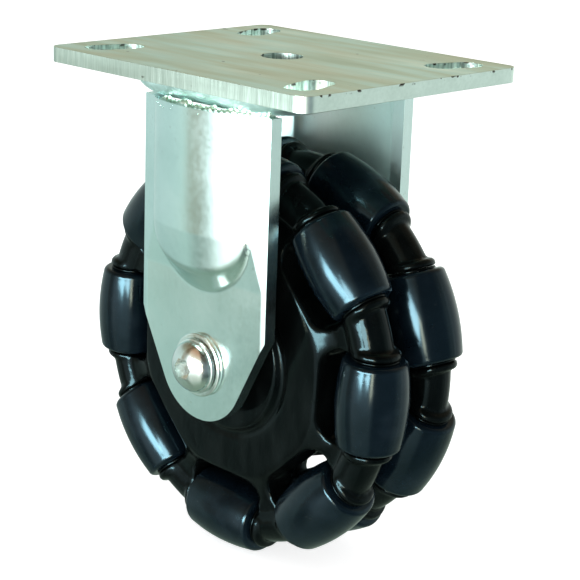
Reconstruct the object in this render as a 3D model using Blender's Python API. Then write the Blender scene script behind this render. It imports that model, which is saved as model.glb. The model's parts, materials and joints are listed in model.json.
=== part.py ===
"""Rigid plate caster with a double-row omnidirectional wheel.

A flat top plate and a pressed steel fork hold a black plastic wheel. The wheel carries two rows of
eight barrel rollers. The rows are turned half a pitch apart, so one roller always meets the floor.

The frame: +X is the rolling direction, +Y is along the axle towards the nut, +Z is up. The origin
is on the floor below the middle of the axle. Lengths are in metres.
"""

import math

import bmesh
import bpy
from mathutils import Matrix, Vector

MM = 0.001
TINY = 1e-6

# Driving dimensions.
WHEEL_RADIUS = 62.5 * MM
OVERALL_HEIGHT = 151.0 * MM
PLATE_LENGTH = 105.0 * MM
PLATE_DEPTH = 90.0 * MM
PLATE_THICKNESS = 4.5 * MM
SLOT_SPACING_X = 80.0 * MM
SLOT_SPACING_Y = 60.0 * MM
AXLE_RADIUS = 5.0 * MM
ROLLERS_PER_ROW = 8
ROLLER_RADIUS = 10.7 * MM
ROLLER_LENGTH = 26.6 * MM
ROW_OFFSET = 11.9 * MM
WHEEL_PHASE = math.radians(42.8)

# Clearances between separate pieces.
GAP = 0.3 * MM
SLIP = 0.15 * MM

# Top plate.
PLATE_TOP = OVERALL_HEIGHT
PLATE_BOTTOM = PLATE_TOP - PLATE_THICKNESS
PLATE_CORNER = 4.0 * MM
PLATE_EDGE_BEVEL = 0.5 * MM
SLOT_WIDTH = 9.4 * MM
SLOT_LENGTH = 18.5 * MM
SLOT_SLANT = math.radians(16.0)
CENTRE_HOLE_RADIUS = 6.2 * MM

# Fork: crown, legs and weld beads. Leg heights are measured from the axle.
AXLE_HEIGHT = WHEEL_RADIUS
LEG_WIDTH = 52.0 * MM
LEG_THICKNESS = 4.0 * MM
LEG_OUTER_Y = 29.7 * MM
LEG_INNER_Y = LEG_OUTER_Y - LEG_THICKNESS
LEG_TOP = 77.0 * MM
LEG_BEND = 12.5 * MM
LEG_END_RADIUS = 17.3 * MM
FLUTE_HALF_WIDTH = 20.0 * MM
FLUTE_HEIGHT = 6.5 * MM
FLUTE_END = 43.0 * MM
FLUTE_ROUNDNESS = 0.6
CROWN_BOTTOM = AXLE_HEIGHT + LEG_TOP + GAP
CROWN_TOP = PLATE_BOTTOM - GAP
CROWN_FOOT = (26.5 * MM, 30.0 * MM)
CROWN_RIM = (34.5 * MM, 34.0 * MM)
CROWN_CORNER = 14.0 * MM
WELD_RADIUS = 1.4 * MM
WELD_FLATTENING = 0.6
WELD_START = -17.0 * MM
WELD_END = 23.0 * MM
WELD_HEIGHT = CROWN_BOTTOM + WELD_RADIUS * WELD_FLATTENING

# Axle stack, measured outwards from the middle of the wheel along the axle.
WASHER_THICKNESS = 1.6 * MM
WASHER_RADIUS = 9.6 * MM
WASHER_Y = LEG_OUTER_Y + GAP
HEAD_Y = WASHER_Y + WASHER_THICKNESS + GAP
HEAD_RADIUS = 8.3 * MM
HEAD_HEIGHT = 6.2 * MM
HEAD_RIM = 0.9 * MM
SOCKET_RADIUS = 3.4 * MM
SOCKET_DEPTH = 3.6 * MM
NUT_HEX_HEIGHT = 6.5 * MM
NUT_HEIGHT = 10.0 * MM
NUT_RADIUS = 17.0 * MM / math.sqrt(3.0)
NUT_COLLAR_RADIUS = 7.6 * MM
NUT_CHAMFER = 1.2 * MM
SPACER_RADIUS = 8.4 * MM
BOLT_END_Y = HEAD_Y + NUT_HEIGHT + 1.5 * MM

# Ball bearings, one in each wheel row.
BEARING_INNER_Y = 12.6 * MM
BEARING_WIDTH = 8.0 * MM
BEARING_MIDDLE_Y = BEARING_INNER_Y + BEARING_WIDTH / 2
BEARING_OUTER_Y = BEARING_INNER_Y + BEARING_WIDTH
BEARING_RADIUS = 13.0 * MM
BALL_PITCH_RADIUS = 9.0 * MM
BALL_RADIUS = 2.2 * MM
BALL_COUNT = 7
INNER_RACE_RADIUS = 7.4 * MM
OUTER_RACE_RADIUS = 10.6 * MM
GROOVE_DEPTH = 0.95 * MM
GROOVE_EDGE = 1.9 * MM
GROOVE_FLOOR = 1.0 * MM
CAGE_THICKNESS = 1.2 * MM

# Wheel rows.
ROLLER_PITCH = 2 * math.pi / ROLLERS_PER_ROW
ROLLER_CENTRE_RADIUS = WHEEL_RADIUS - ROLLER_RADIUS
ROLLER_END_GAP = 1.2 * MM
POCKET_HALF_LENGTH = ROLLER_LENGTH / 2 + ROLLER_END_GAP
POCKET_FLOOR = 37.0 * MM
POCKET_CORNER = 6.0 * MM
PIN_RADIUS = 2.0 * MM
PIN_LENGTH = 36.0 * MM
NECK_RADIUS = 6.1 * MM
NECK_CENTRE_RADIUS = 52.5 * MM
ARM_HALF_THICKNESS = 5.0 * MM
ARM_OUTER_RADIUS = 44.5 * MM
ROW_GAP = 1.2 * MM
HUB_BORE = 8.5 * MM
DISC_RADIUS = 34.0 * MM
DISC_HEIGHT = 7.3 * MM
BOSS_RADIUS = 22.6 * MM

# How finely the round shapes are divided.
HUB_SEGMENTS = 32
ROUND_SEGMENTS = 20
ROLLER_SEGMENTS = 16
PIN_SEGMENTS = 10


def clear_scene():
    for old in list(bpy.data.objects):
        bpy.data.objects.remove(old)


def principled(name, colour, roughness, metallic):
    material = bpy.data.materials.new(name)
    material.use_nodes = True
    shader = material.node_tree.nodes["Principled BSDF"]
    shader.inputs["Base Color"].default_value = (*colour, 1.0)
    shader.inputs["Roughness"].default_value = roughness
    shader.inputs["Metallic"].default_value = metallic
    material.diffuse_color = (*colour, 1.0)
    return material


def axis_empty(name, location):
    empty = bpy.data.objects.new(name, None)
    empty.location = location
    bpy.context.scene.collection.objects.link(empty)
    return empty


def add_object(name, mesh, material=None, location=(0.0, 0.0, 0.0), parent=None):
    """One object for one piece, at a place given from its parent's origin."""
    piece = bpy.data.objects.new(name, mesh)
    piece.location = location
    piece.parent = parent
    if material and not mesh.materials:
        mesh.materials.append(material)
    bpy.context.scene.collection.objects.link(piece)
    return piece


def mesh_from(bm, name):
    bmesh.ops.recalc_face_normals(bm, faces=bm.faces)
    mesh = bpy.data.meshes.new(name)
    bm.to_mesh(mesh)
    bm.free()
    mesh.shade_smooth()
    mesh.set_sharp_from_angle(angle=math.radians(35.0))
    return mesh


def cut(piece, name, cutter_mesh, operation="DIFFERENCE"):
    """A Boolean on the piece, with the other shape hidden and moving with the piece."""
    cutter = add_object(f"{piece.name}_{name}", cutter_mesh, location=piece.location, parent=piece.parent)
    cutter.hide_render = True
    cutter.display_type = "WIRE"
    boolean = piece.modifiers.new(name, "BOOLEAN")
    boolean.operation = operation
    boolean.object = cutter


def ring_of(bm, radius, along, segments):
    """A circle of points about the Y axis, or one point where the radius is nothing."""
    if radius < TINY:
        return [bm.verts.new((0.0, along, 0.0))]
    turn = 2 * math.pi / segments
    return [
        bm.verts.new((radius * math.cos(i * turn), along, radius * math.sin(i * turn)))
        for i in range(segments)
    ]


def bridge(bm, first, second):
    """Faces between two circles of points, or between a circle and a point."""
    count = max(len(first), len(second))
    for i in range(count):
        j = (i + 1) % count
        near = [first[i % len(first)], first[j % len(first)]]
        far = [second[j % len(second)], second[i % len(second)]]
        bm.faces.new(list(dict.fromkeys(near + far)))


def turned(profile, segments, hollow=False):
    """A solid turned about the Y axis from (radius, along) points. A hollow one closes on itself."""
    bm = bmesh.new()
    rings = [ring_of(bm, radius, along, segments) for radius, along in profile]
    for first, second in zip(rings, rings[1:]):
        bridge(bm, first, second)
    if hollow:
        bridge(bm, rings[-1], rings[0])
    return bm


def tube(inner, outer, start, end, chamfer=0.0):
    """The closed profile of a plain ring, with its outer edges chamfered."""
    profile = [(inner, start), (outer - chamfer, start)]
    if chamfer:
        profile += [(outer, start + chamfer), (outer, end - chamfer)]
    else:
        profile += [(outer, start)]
    profile += [(outer - chamfer, end), (inner, end)]
    return profile


def prism(bm, outline, low, high, axis="Z"):
    """A flat-ended solid on a closed outline. Along Z the outline is (x, y), along Y it is (x, z)."""

    def point(u, v, w):
        return (u, v, w) if axis == "Z" else (u, w, v)

    bottom = [bm.verts.new(point(u, v, low)) for u, v in outline]
    top = [bm.verts.new(point(u, v, high)) for u, v in outline]
    bm.faces.new(bottom)
    bm.faces.new(top)
    bridge(bm, bottom, top)
    return bottom + top


def arc(centre, radius, start, end, steps):
    """Points along an arc, both ends included. Angles are in degrees."""
    points = []
    for i in range(steps + 1):
        angle = math.radians(start + (end - start) * i / steps)
        points.append((centre[0] + radius * math.cos(angle), centre[1] + radius * math.sin(angle)))
    return points


def rounded_rectangle(half_x, half_y, radius, steps):
    outline = []
    for start, side_x, side_y in ((0, 1, 1), (90, -1, 1), (180, -1, -1), (270, 1, -1)):
        centre = (side_x * (half_x - radius), side_y * (half_y - radius))
        outline += arc(centre, radius, start, start + 90, steps)
    return outline


def slot_outline(centre, direction, length, width, steps=8):
    """A slot with round ends, its length along the direction."""
    reach = (length - width) / 2
    outline = []
    for side in (1, -1):
        end = (centre[0] + side * reach * direction[0], centre[1] + side * reach * direction[1])
        heading = math.degrees(math.atan2(side * direction[1], side * direction[0]))
        outline += arc(end, width / 2, heading - 90, heading + 90, steps)
    return outline


def slot_centres():
    """Each slot's middle and direction: all four slant towards the middle of the plate."""
    for side_x in (1, -1):
        for side_y in (1, -1):
            centre = (side_x * SLOT_SPACING_X / 2, side_y * SLOT_SPACING_Y / 2)
            yield centre, (side_x * side_y * math.sin(SLOT_SLANT), math.cos(SLOT_SLANT))


def make_top_plate(material):
    bm = bmesh.new()
    outline = rounded_rectangle(PLATE_LENGTH / 2, PLATE_DEPTH / 2, PLATE_CORNER, 4)
    prism(bm, outline, PLATE_BOTTOM, PLATE_TOP)
    rims = [edge for edge in bm.edges if abs(edge.verts[0].co.z - edge.verts[1].co.z) < TINY]
    bmesh.ops.bevel(bm, geom=rims, offset=PLATE_EDGE_BEVEL, segments=1, profile=0.5, affect="EDGES")
    plate = add_object("top_plate", mesh_from(bm, "top_plate"), material)

    holes = bmesh.new()
    past = 2 * MM
    for centre, direction in slot_centres():
        outline = slot_outline(centre, direction, SLOT_LENGTH, SLOT_WIDTH)
        prism(holes, outline, PLATE_BOTTOM - past, PLATE_TOP + past)
    centre_hole = arc((0.0, 0.0), CENTRE_HOLE_RADIUS, 0, 345, 23)
    prism(holes, centre_hole, PLATE_BOTTOM - past, PLATE_TOP + past)
    cut(plate, "holes", mesh_from(holes, "plate_holes"))


def crown_half_sizes(swing):
    """Half the crown's length and depth where its bowl-shaped side has turned by the swing angle."""
    out = math.sin(swing)
    half_x = CROWN_FOOT[0] + (CROWN_RIM[0] - CROWN_FOOT[0]) * out
    half_y = CROWN_FOOT[1] + (CROWN_RIM[1] - CROWN_FOOT[1]) * out
    return half_x, half_y


def make_crown(material):
    """The dished piece under the plate: a rounded rectangle that flares from its foot to its rim."""
    bm = bmesh.new()
    levels = 6
    loops = []
    for i in range(levels):
        swing = math.radians(90.0 * i / (levels - 1))
        half_x, half_y = crown_half_sizes(swing)
        height = CROWN_BOTTOM + (CROWN_TOP - CROWN_BOTTOM) * (1 - math.cos(swing))
        outline = rounded_rectangle(half_x, half_y, CROWN_CORNER, 5)
        loops.append([bm.verts.new((x, y, height)) for x, y in outline])
    bm.faces.new(loops[0])
    bm.faces.new(loops[-1])
    for lower, upper in zip(loops, loops[1:]):
        bridge(bm, lower, upper)
    crown = add_object("fork_crown", mesh_from(bm, "fork_crown"), material)

    hole = bmesh.new()
    outline = arc((0.0, 0.0), CENTRE_HOLE_RADIUS, 0, 345, 23)
    prism(hole, outline, CROWN_BOTTOM - MM, CROWN_TOP + MM)
    cut(crown, "hole", mesh_from(hole, "crown_hole"))


def leg_half_width(height):
    """Half the leg's width at a height over the axle: straight, then a taper, then a round end."""
    if height >= LEG_BEND:
        return LEG_WIDTH / 2
    corner = math.hypot(LEG_WIDTH / 2, LEG_BEND)
    touch = math.atan2(LEG_BEND, LEG_WIDTH / 2) - math.acos(LEG_END_RADIUS / corner)
    touch_x = LEG_END_RADIUS * math.cos(touch)
    touch_z = LEG_END_RADIUS * math.sin(touch)
    if height >= touch_z:
        part = (height - touch_z) / (LEG_BEND - touch_z)
        return touch_x + part * (LEG_WIDTH / 2 - touch_x)
    return math.sqrt(max(LEG_END_RADIUS**2 - height**2, 0.0))


def flute_depth(x, height):
    """How far the leg is pressed outwards: a half-round flute with a round lower end."""
    below = min(height - FLUTE_END, 0.0)
    inside = FLUTE_HALF_WIDTH - math.hypot(x, below)
    if inside <= 0:
        return 0.0
    across = 1 - inside / FLUTE_HALF_WIDTH
    return FLUTE_HEIGHT * (1 - across**2) ** FLUTE_ROUNDNESS


def make_leg(name, side, material):
    """One fork leg. Side is -1 for the bolt head's side and 1 for the nut's side."""
    bm = bmesh.new()
    half = LEG_WIDTH / 2
    across = [FLUTE_HALF_WIDTH * part for part in (0.175, 0.5, 0.75, 0.925, 1.0)] + [half]
    columns = [-x for x in reversed(across)] + across
    heights = [LEG_TOP, (LEG_TOP + FLUTE_END) / 2]
    heights += [FLUTE_END - FLUTE_HALF_WIDTH * part for part in (0.0, 0.25, 0.475, 0.675, 0.825, 0.935, 1.0)]
    heights += [(FLUTE_END - FLUTE_HALF_WIDTH + LEG_BEND) / 2, LEG_BEND]
    heights += [LEG_END_RADIUS * part for part in (0.35, -0.06, -0.35, -0.61, -0.81, -0.95)]
    sheets = []
    for base in (LEG_OUTER_Y, LEG_INNER_Y):
        rows = []
        for height in heights:
            spread = leg_half_width(height) / half
            row = []
            for column in columns:
                x = column * spread
                y = side * (base + flute_depth(x, height))
                row.append(bm.verts.new((x, y, height)))
            rows.append(row)
        rows.append([bm.verts.new((0.0, side * base, -LEG_END_RADIUS))])
        sheets.append(rows)
    last = len(heights) - 1
    for rows in sheets:
        for upper, lower in zip(rows[:-1], rows[1:-1]):
            for i in range(len(columns) - 1):
                bm.faces.new((upper[i], upper[i + 1], lower[i + 1], lower[i]))
        for i in range(len(columns) - 1):
            bm.faces.new((rows[last][i], rows[last][i + 1], rows[-1][0]))
    rims = []
    for rows in sheets:
        rims.append(rows[0] + [row[-1] for row in rows[1:-1]] + rows[-1] + [row[0] for row in rows[-2:0:-1]])
    bridge(bm, *rims)
    leg = add_object(name, mesh_from(bm, name), material, (0.0, 0.0, AXLE_HEIGHT))

    hole = turned(
        [(0.0, -50 * MM), (AXLE_RADIUS + SLIP, -50 * MM), (AXLE_RADIUS + SLIP, 50 * MM), (0.0, 50 * MM)],
        ROUND_SEGMENTS,
    )
    cut(leg, "hole", mesh_from(hole, f"{name}_hole"))


def make_weld_bead(name, side, material):
    """A lumpy run of weld round the crown's side, on the leg's top edge."""
    bm = bmesh.new()
    steps = 18
    sides = 6
    rise = (WELD_HEIGHT + WELD_RADIUS * WELD_FLATTENING - CROWN_BOTTOM) / (CROWN_TOP - CROWN_BOTTOM)
    half_x, half_y = crown_half_sizes(math.acos(1 - rise))
    rings = []
    for i in range(steps + 1):
        x = WELD_START + (WELD_END - WELD_START) * i / steps
        into_corner = max(abs(x) - half_x + CROWN_CORNER, 0.0)
        crown_y = half_y - CROWN_CORNER + math.sqrt(CROWN_CORNER**2 - into_corner**2)
        y = side * (crown_y + GAP + WELD_RADIUS)
        taper = min(1.0, 0.35 + min(i, steps - i) / 3)
        radius = WELD_RADIUS * taper * (0.86 + 0.14 * math.cos(2.4 * i))
        ring = []
        for j in range(sides):
            angle = 2 * math.pi * j / sides
            height = WELD_HEIGHT + WELD_FLATTENING * radius * math.sin(angle)
            ring.append(bm.verts.new((x, y + radius * math.cos(angle), height)))
        rings.append(ring)
    for first, second in zip(rings, rings[1:]):
        bridge(bm, first, second)
    bm.faces.new(rings[0])
    bm.faces.new(rings[-1])
    add_object(name, mesh_from(bm, name), material)


def make_axle_bolt(material):
    """A dome-headed bolt along the axle, with a hexagon socket in its head."""
    head = [(0.0, -HEAD_Y - HEAD_HEIGHT)]
    for i in range(1, 6):
        swing = math.radians(90.0 * i / 6)
        dome = (HEAD_HEIGHT - HEAD_RIM) * math.cos(swing)
        head.append((HEAD_RADIUS * math.sin(swing), -HEAD_Y - HEAD_RIM - dome))
    head += [(HEAD_RADIUS, -HEAD_Y - HEAD_RIM), (HEAD_RADIUS, -HEAD_Y)]
    shank = [(AXLE_RADIUS - SLIP, -HEAD_Y), (AXLE_RADIUS - SLIP, BOLT_END_Y - MM)]
    shank += [(AXLE_RADIUS - 1.15 * MM, BOLT_END_Y), (0.0, BOLT_END_Y)]
    bolt = add_object("axle_bolt", mesh_from(turned(head + shank, ROUND_SEGMENTS), "axle_bolt"), material)
    bolt.location = (0.0, 0.0, AXLE_HEIGHT)

    socket = bmesh.new()
    hexagon = arc((0.0, 0.0), SOCKET_RADIUS, 0, 300, 5)
    top = -HEAD_Y - HEAD_HEIGHT
    prism(socket, hexagon, top - MM, top + SOCKET_DEPTH, axis="Y")
    cut(bolt, "socket", mesh_from(socket, "bolt_socket"))


def make_axle_nut(material):
    """A locking nut: a hexagon with chamfered corners and a round collar."""
    bm = bmesh.new()
    prism(bm, arc((0.0, 0.0), NUT_RADIUS, 0, 300, 5), HEAD_Y, HEAD_Y + NUT_HEX_HEIGHT, axis="Y")
    nut = add_object("axle_nut", mesh_from(bm, "axle_nut"), material, (0.0, 0.0, AXLE_HEIGHT))
    flat = NUT_RADIUS * math.cos(math.pi / 6)
    envelope = [
        (0.0, HEAD_Y - MM),
        (flat + 2 * MM, HEAD_Y - MM),
        (flat + 2 * MM, HEAD_Y + NUT_HEX_HEIGHT - MM),
        (flat, HEAD_Y + NUT_HEX_HEIGHT + MM),
        (0.0, HEAD_Y + NUT_HEX_HEIGHT + MM),
    ]
    cut(nut, "chamfer", mesh_from(turned(envelope, ROUND_SEGMENTS), "nut_chamfer"), "INTERSECT")
    collar = [
        (0.0, HEAD_Y + MM),
        (NUT_COLLAR_RADIUS, HEAD_Y + MM),
        (NUT_COLLAR_RADIUS, HEAD_Y + NUT_HEIGHT - NUT_CHAMFER),
        (NUT_COLLAR_RADIUS - NUT_CHAMFER, HEAD_Y + NUT_HEIGHT),
        (0.0, HEAD_Y + NUT_HEIGHT),
    ]
    cut(nut, "collar", mesh_from(turned(collar, ROUND_SEGMENTS), "nut_collar"), "UNION")
    bore = [
        (0.0, HEAD_Y - MM),
        (AXLE_RADIUS + SLIP, HEAD_Y - MM),
        (AXLE_RADIUS + SLIP, HEAD_Y + NUT_HEIGHT + MM),
        (0.0, HEAD_Y + NUT_HEIGHT + MM),
    ]
    cut(nut, "bore", mesh_from(turned(bore, ROUND_SEGMENTS), "nut_bore"))


def add_ring(name, profile, material, parent=None):
    """A ring turned about the axle."""
    mesh = mesh_from(turned(profile, ROUND_SEGMENTS, hollow=True), name)
    place = (0.0, 0.0, 0.0) if parent else (0.0, 0.0, AXLE_HEIGHT)
    return add_object(name, mesh, material, place, parent)


def mirrored(profile, side):
    """The profile for one side of the wheel, its axial places counted outwards."""
    return [(radius, side * along) for radius, along in profile]


def make_axle_stack(side, end, steel, bright):
    """The pieces threaded on one end of the axle, outside the wheel and inside its bearing."""
    bore = AXLE_RADIUS + SLIP
    washer = tube(bore, WASHER_RADIUS, WASHER_Y, WASHER_Y + WASHER_THICKNESS, 0.3 * MM)
    add_ring(f"axle_washer_{end}", mirrored(washer, side), bright)
    spacer = tube(bore, SPACER_RADIUS, BEARING_OUTER_Y + GAP, LEG_INNER_Y - GAP, 0.4 * MM)
    add_ring(f"axle_spacer_{end}", mirrored(spacer, side), steel)
    race = [
        (bore, BEARING_INNER_Y),
        (INNER_RACE_RADIUS, BEARING_INNER_Y),
        (INNER_RACE_RADIUS, BEARING_MIDDLE_Y - GROOVE_EDGE),
        (INNER_RACE_RADIUS - GROOVE_DEPTH, BEARING_MIDDLE_Y - GROOVE_FLOOR),
        (INNER_RACE_RADIUS - GROOVE_DEPTH, BEARING_MIDDLE_Y + GROOVE_FLOOR),
        (INNER_RACE_RADIUS, BEARING_MIDDLE_Y + GROOVE_EDGE),
        (INNER_RACE_RADIUS, BEARING_OUTER_Y),
        (bore, BEARING_OUTER_Y),
    ]
    add_ring(f"bearing_inner_{end}", mirrored(race, side), bright)


def make_bearing_outer(side, end, wheel_axis, bright):
    outer = BEARING_RADIUS - SLIP
    race = [
        (OUTER_RACE_RADIUS, BEARING_INNER_Y),
        (outer, BEARING_INNER_Y),
        (outer, BEARING_OUTER_Y),
        (OUTER_RACE_RADIUS, BEARING_OUTER_Y),
        (OUTER_RACE_RADIUS, BEARING_MIDDLE_Y + GROOVE_EDGE),
        (OUTER_RACE_RADIUS + GROOVE_DEPTH, BEARING_MIDDLE_Y + GROOVE_FLOOR),
        (OUTER_RACE_RADIUS + GROOVE_DEPTH, BEARING_MIDDLE_Y - GROOVE_FLOOR),
        (OUTER_RACE_RADIUS, BEARING_MIDDLE_Y - GROOVE_EDGE),
    ]
    add_ring(f"bearing_outer_{end}", mirrored(race, side), bright, wheel_axis)


def make_bearing_balls(side, end, wheel_axis, bright):
    """The balls of one bearing, joined by the cage between them."""
    name = f"bearing_balls_{end}"
    half = CAGE_THICKNESS / 2
    inner, outer = BALL_PITCH_RADIUS - half, BALL_PITCH_RADIUS + half
    cage = tube(inner, outer, BEARING_MIDDLE_Y - half, BEARING_MIDDLE_Y + half)
    piece = add_ring(name, mirrored(cage, side), bright, wheel_axis)
    balls = bmesh.new()
    for i in range(BALL_COUNT):
        angle = 2 * math.pi * i / BALL_COUNT
        place = (
            BALL_PITCH_RADIUS * math.cos(angle),
            side * BEARING_MIDDLE_Y,
            BALL_PITCH_RADIUS * math.sin(angle),
        )
        bmesh.ops.create_uvsphere(
            balls,
            u_segments=8,
            v_segments=5,
            radius=BALL_RADIUS,
            matrix=Matrix.Translation(place),
        )
    cut(piece, "balls", mesh_from(balls, name + "_set"), "UNION")


def hub_profile():
    """The closed section of one wheel row, as (radius, distance outwards from the row's middle)."""
    inner = ROW_GAP / 2 - ROW_OFFSET
    seat = BEARING_INNER_Y - GAP - ROW_OFFSET
    boss = BEARING_OUTER_Y + 0.4 * MM - ROW_OFFSET
    profile = [
        (HUB_BORE, inner),
        (DISC_RADIUS - 4 * MM, inner),
        (DISC_RADIUS - MM, -8.0 * MM),
        (ARM_OUTER_RADIUS - 4.5 * MM, -5.8 * MM),
        (ARM_OUTER_RADIUS, -ARM_HALF_THICKNESS),
    ]
    reach = 180.0 - math.degrees(math.asin(ARM_HALF_THICKNESS / NECK_RADIUS))
    profile += arc((NECK_CENTRE_RADIUS, 0.0), NECK_RADIUS, -reach, reach, 7)
    profile += [
        (ARM_OUTER_RADIUS, ARM_HALF_THICKNESS),
        (POCKET_FLOOR + 0.6 * MM, 6.2 * MM),
        (DISC_RADIUS + 0.6 * MM, 6.6 * MM),
        (DISC_RADIUS, DISC_HEIGHT),
        (BOSS_RADIUS, DISC_HEIGHT),
        (BOSS_RADIUS - MM, boss),
        (BEARING_RADIUS + SLIP, boss),
        (BEARING_RADIUS + SLIP, seat),
        (HUB_BORE, seat),
    ]
    return profile


def pocket_outline():
    """One roller pocket, open outwards, as (distance from the axle, place along the roller)."""
    half = POCKET_HALF_LENGTH
    floor = POCKET_FLOOR
    past = WHEEL_RADIUS + 8 * MM
    outline = [(past, half)]
    outline += arc((floor + POCKET_CORNER, half - POCKET_CORNER), POCKET_CORNER, 90, 180, 4)
    outline += arc((floor + POCKET_CORNER, POCKET_CORNER - half), POCKET_CORNER, 180, 270, 4)
    outline += [(past, -half)]
    return outline


def roller_angles(end):
    first = WHEEL_PHASE if end == "front" else WHEEL_PHASE - ROLLER_PITCH / 2
    return [first + i * ROLLER_PITCH for i in range(ROLLERS_PER_ROW)]


def roller_frame(angle, along):
    """The placing of a roller: its length is its own Y, and its own Z points away from the axle."""
    outward = Vector((math.cos(angle), 0.0, math.sin(angle)))
    tangent = Vector((-math.sin(angle), 0.0, math.cos(angle)))
    axes = Matrix((Vector((0.0, 1.0, 0.0)), tangent, outward)).transposed().to_4x4()
    return Matrix.Translation(outward * ROLLER_CENTRE_RADIUS + Vector((0.0, along, 0.0))) @ axes


def make_hub(side, end, wheel_axis, material):
    """One moulded wheel row: a boss, a web, eight arms and the necks between the rollers."""
    name = f"hub_{end}"
    profile = [(radius, side * (ROW_OFFSET + out)) for radius, out in hub_profile()]
    hub = add_object(name, mesh_from(turned(profile, HUB_SEGMENTS, hollow=True), name), material)
    hub.parent = wheel_axis

    pockets = bmesh.new()
    sockets = bmesh.new()
    for angle in roller_angles(end):
        corners = prism(pockets, pocket_outline(), -30 * MM, 30 * MM, axis="Y")
        turn = Matrix.Rotation(-angle, 4, "Y")
        bmesh.ops.transform(pockets, matrix=turn, verts=corners)
        half = PIN_LENGTH / 2 + GAP
        bmesh.ops.create_cone(
            sockets,
            cap_ends=True,
            segments=PIN_SEGMENTS,
            radius1=PIN_RADIUS + GAP,
            radius2=PIN_RADIUS + GAP,
            depth=2 * half,
            matrix=roller_frame(angle, side * ROW_OFFSET) @ Matrix.Rotation(math.pi / 2, 4, "X"),
        )
    cut(hub, "pockets", mesh_from(pockets, name + "_pockets"))
    cut(hub, "sockets", mesh_from(sockets, name + "_sockets"))


def roller_mesh():
    """A barrel whose long outline is an arc of the wheel's own radius, with a bore for its pin."""
    half = ROLLER_LENGTH / 2
    edge = 0.8 * MM
    bore = PIN_RADIUS + GAP
    outer = []
    steps = 4
    for i in range(steps + 1):
        along = (half - edge) * (2 * i / steps - 1)
        outer.append((math.sqrt(WHEEL_RADIUS**2 - along**2) - ROLLER_CENTRE_RADIUS, along))
    end_radius = outer[0][0] - edge
    profile = [(bore, -half), (end_radius, -half)] + outer + [(end_radius, half), (bore, half)]
    return mesh_from(turned(profile, ROLLER_SEGMENTS, hollow=True), "roller")


def pin_mesh():
    half = PIN_LENGTH / 2
    profile = [(0.0, -half), (PIN_RADIUS, -half), (PIN_RADIUS, half), (0.0, half)]
    return mesh_from(turned(profile, PIN_SEGMENTS), "roller_pin")


def make_rollers(side, end, wheel_axis, meshes, materials):
    """The rollers and pins of one row. They share two meshes."""
    for i, angle in enumerate(roller_angles(end), start=1):
        for kind in ("roller", "roller_pin"):
            piece = add_object(f"{kind}_{end}_{i}", meshes[kind], materials[kind], parent=wheel_axis)
            piece.matrix_local = roller_frame(angle, side * ROW_OFFSET)


def main():
    clear_scene()
    zinc = principled("zinc_plate", (0.62, 0.66, 0.56), 0.42, 1.0)
    pressed = principled("zinc_pressing", (0.66, 0.76, 0.74), 0.28, 1.0)
    bright = principled("bright_steel", (0.80, 0.82, 0.80), 0.15, 1.0)
    weld = principled("weld_metal", (0.70, 0.78, 0.75), 0.5, 1.0)
    plain = principled("plain_steel", (0.60, 0.62, 0.62), 0.35, 1.0)
    black = principled("black_plastic", (0.012, 0.014, 0.014), 0.22, 0.0)
    navy = principled("roller_polyurethane", (0.022, 0.036, 0.052), 0.35, 0.0)

    make_top_plate(zinc)
    make_crown(pressed)
    make_leg("fork_leg_front", -1, pressed)
    make_leg("fork_leg_rear", 1, pressed)
    make_weld_bead("weld_bead_front", -1, weld)
    make_weld_bead("weld_bead_rear", 1, weld)
    make_axle_bolt(bright)
    make_axle_nut(bright)
    sleeve = tube(AXLE_RADIUS + SLIP, INNER_RACE_RADIUS, GAP - BEARING_INNER_Y, BEARING_INNER_Y - GAP)
    add_ring("axle_sleeve", sleeve, plain)

    wheel_axis = axis_empty("wheel_axis", (0.0, 0.0, AXLE_HEIGHT))
    meshes = {"roller": roller_mesh(), "roller_pin": pin_mesh()}
    materials = {"roller": navy, "roller_pin": plain}
    for side, end in ((-1, "front"), (1, "rear")):
        make_axle_stack(side, end, plain, bright)
        make_bearing_outer(side, end, wheel_axis, bright)
        make_bearing_balls(side, end, wheel_axis, bright)
        make_hub(side, end, wheel_axis, black)
        make_rollers(side, end, wheel_axis, meshes, materials)


main()
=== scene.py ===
"""The looks of a rigid plate caster with a double-row omni wheel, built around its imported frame.

Lengths are in metres, in the frame's own axes: +X is the rolling direction, +Y runs along the axle
towards the nut, +Z is up, and the floor is at zero.
"""

import json
import math
import random

import bmesh
import bpy
from mathutils import Matrix, Vector, noise


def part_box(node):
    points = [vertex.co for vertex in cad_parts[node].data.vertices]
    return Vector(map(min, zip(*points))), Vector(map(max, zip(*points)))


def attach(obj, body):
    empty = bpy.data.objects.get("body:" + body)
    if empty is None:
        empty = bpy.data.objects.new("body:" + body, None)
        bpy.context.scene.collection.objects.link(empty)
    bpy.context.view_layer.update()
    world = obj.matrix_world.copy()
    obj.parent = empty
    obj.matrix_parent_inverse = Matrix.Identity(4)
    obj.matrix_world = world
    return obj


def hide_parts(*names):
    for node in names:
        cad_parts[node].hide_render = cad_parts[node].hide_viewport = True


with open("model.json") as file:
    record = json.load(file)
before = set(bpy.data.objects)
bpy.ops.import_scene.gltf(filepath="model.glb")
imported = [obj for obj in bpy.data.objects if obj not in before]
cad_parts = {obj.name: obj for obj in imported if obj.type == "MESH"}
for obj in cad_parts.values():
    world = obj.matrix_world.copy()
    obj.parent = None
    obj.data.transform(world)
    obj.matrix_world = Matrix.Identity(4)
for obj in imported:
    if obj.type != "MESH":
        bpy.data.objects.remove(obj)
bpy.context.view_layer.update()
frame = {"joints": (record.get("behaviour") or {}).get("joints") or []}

MM = 0.001
TINY = 1e-7
SHARP_ANGLE = math.radians(35.0)
CORNER_SHARE = 0.45
JOINTS = {joint["child"]: joint for joint in frame["joints"]}
AXLE = Vector(JOINTS["wheel"]["pos_m"])
AT_AXLE = Matrix.Translation(AXLE)
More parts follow.
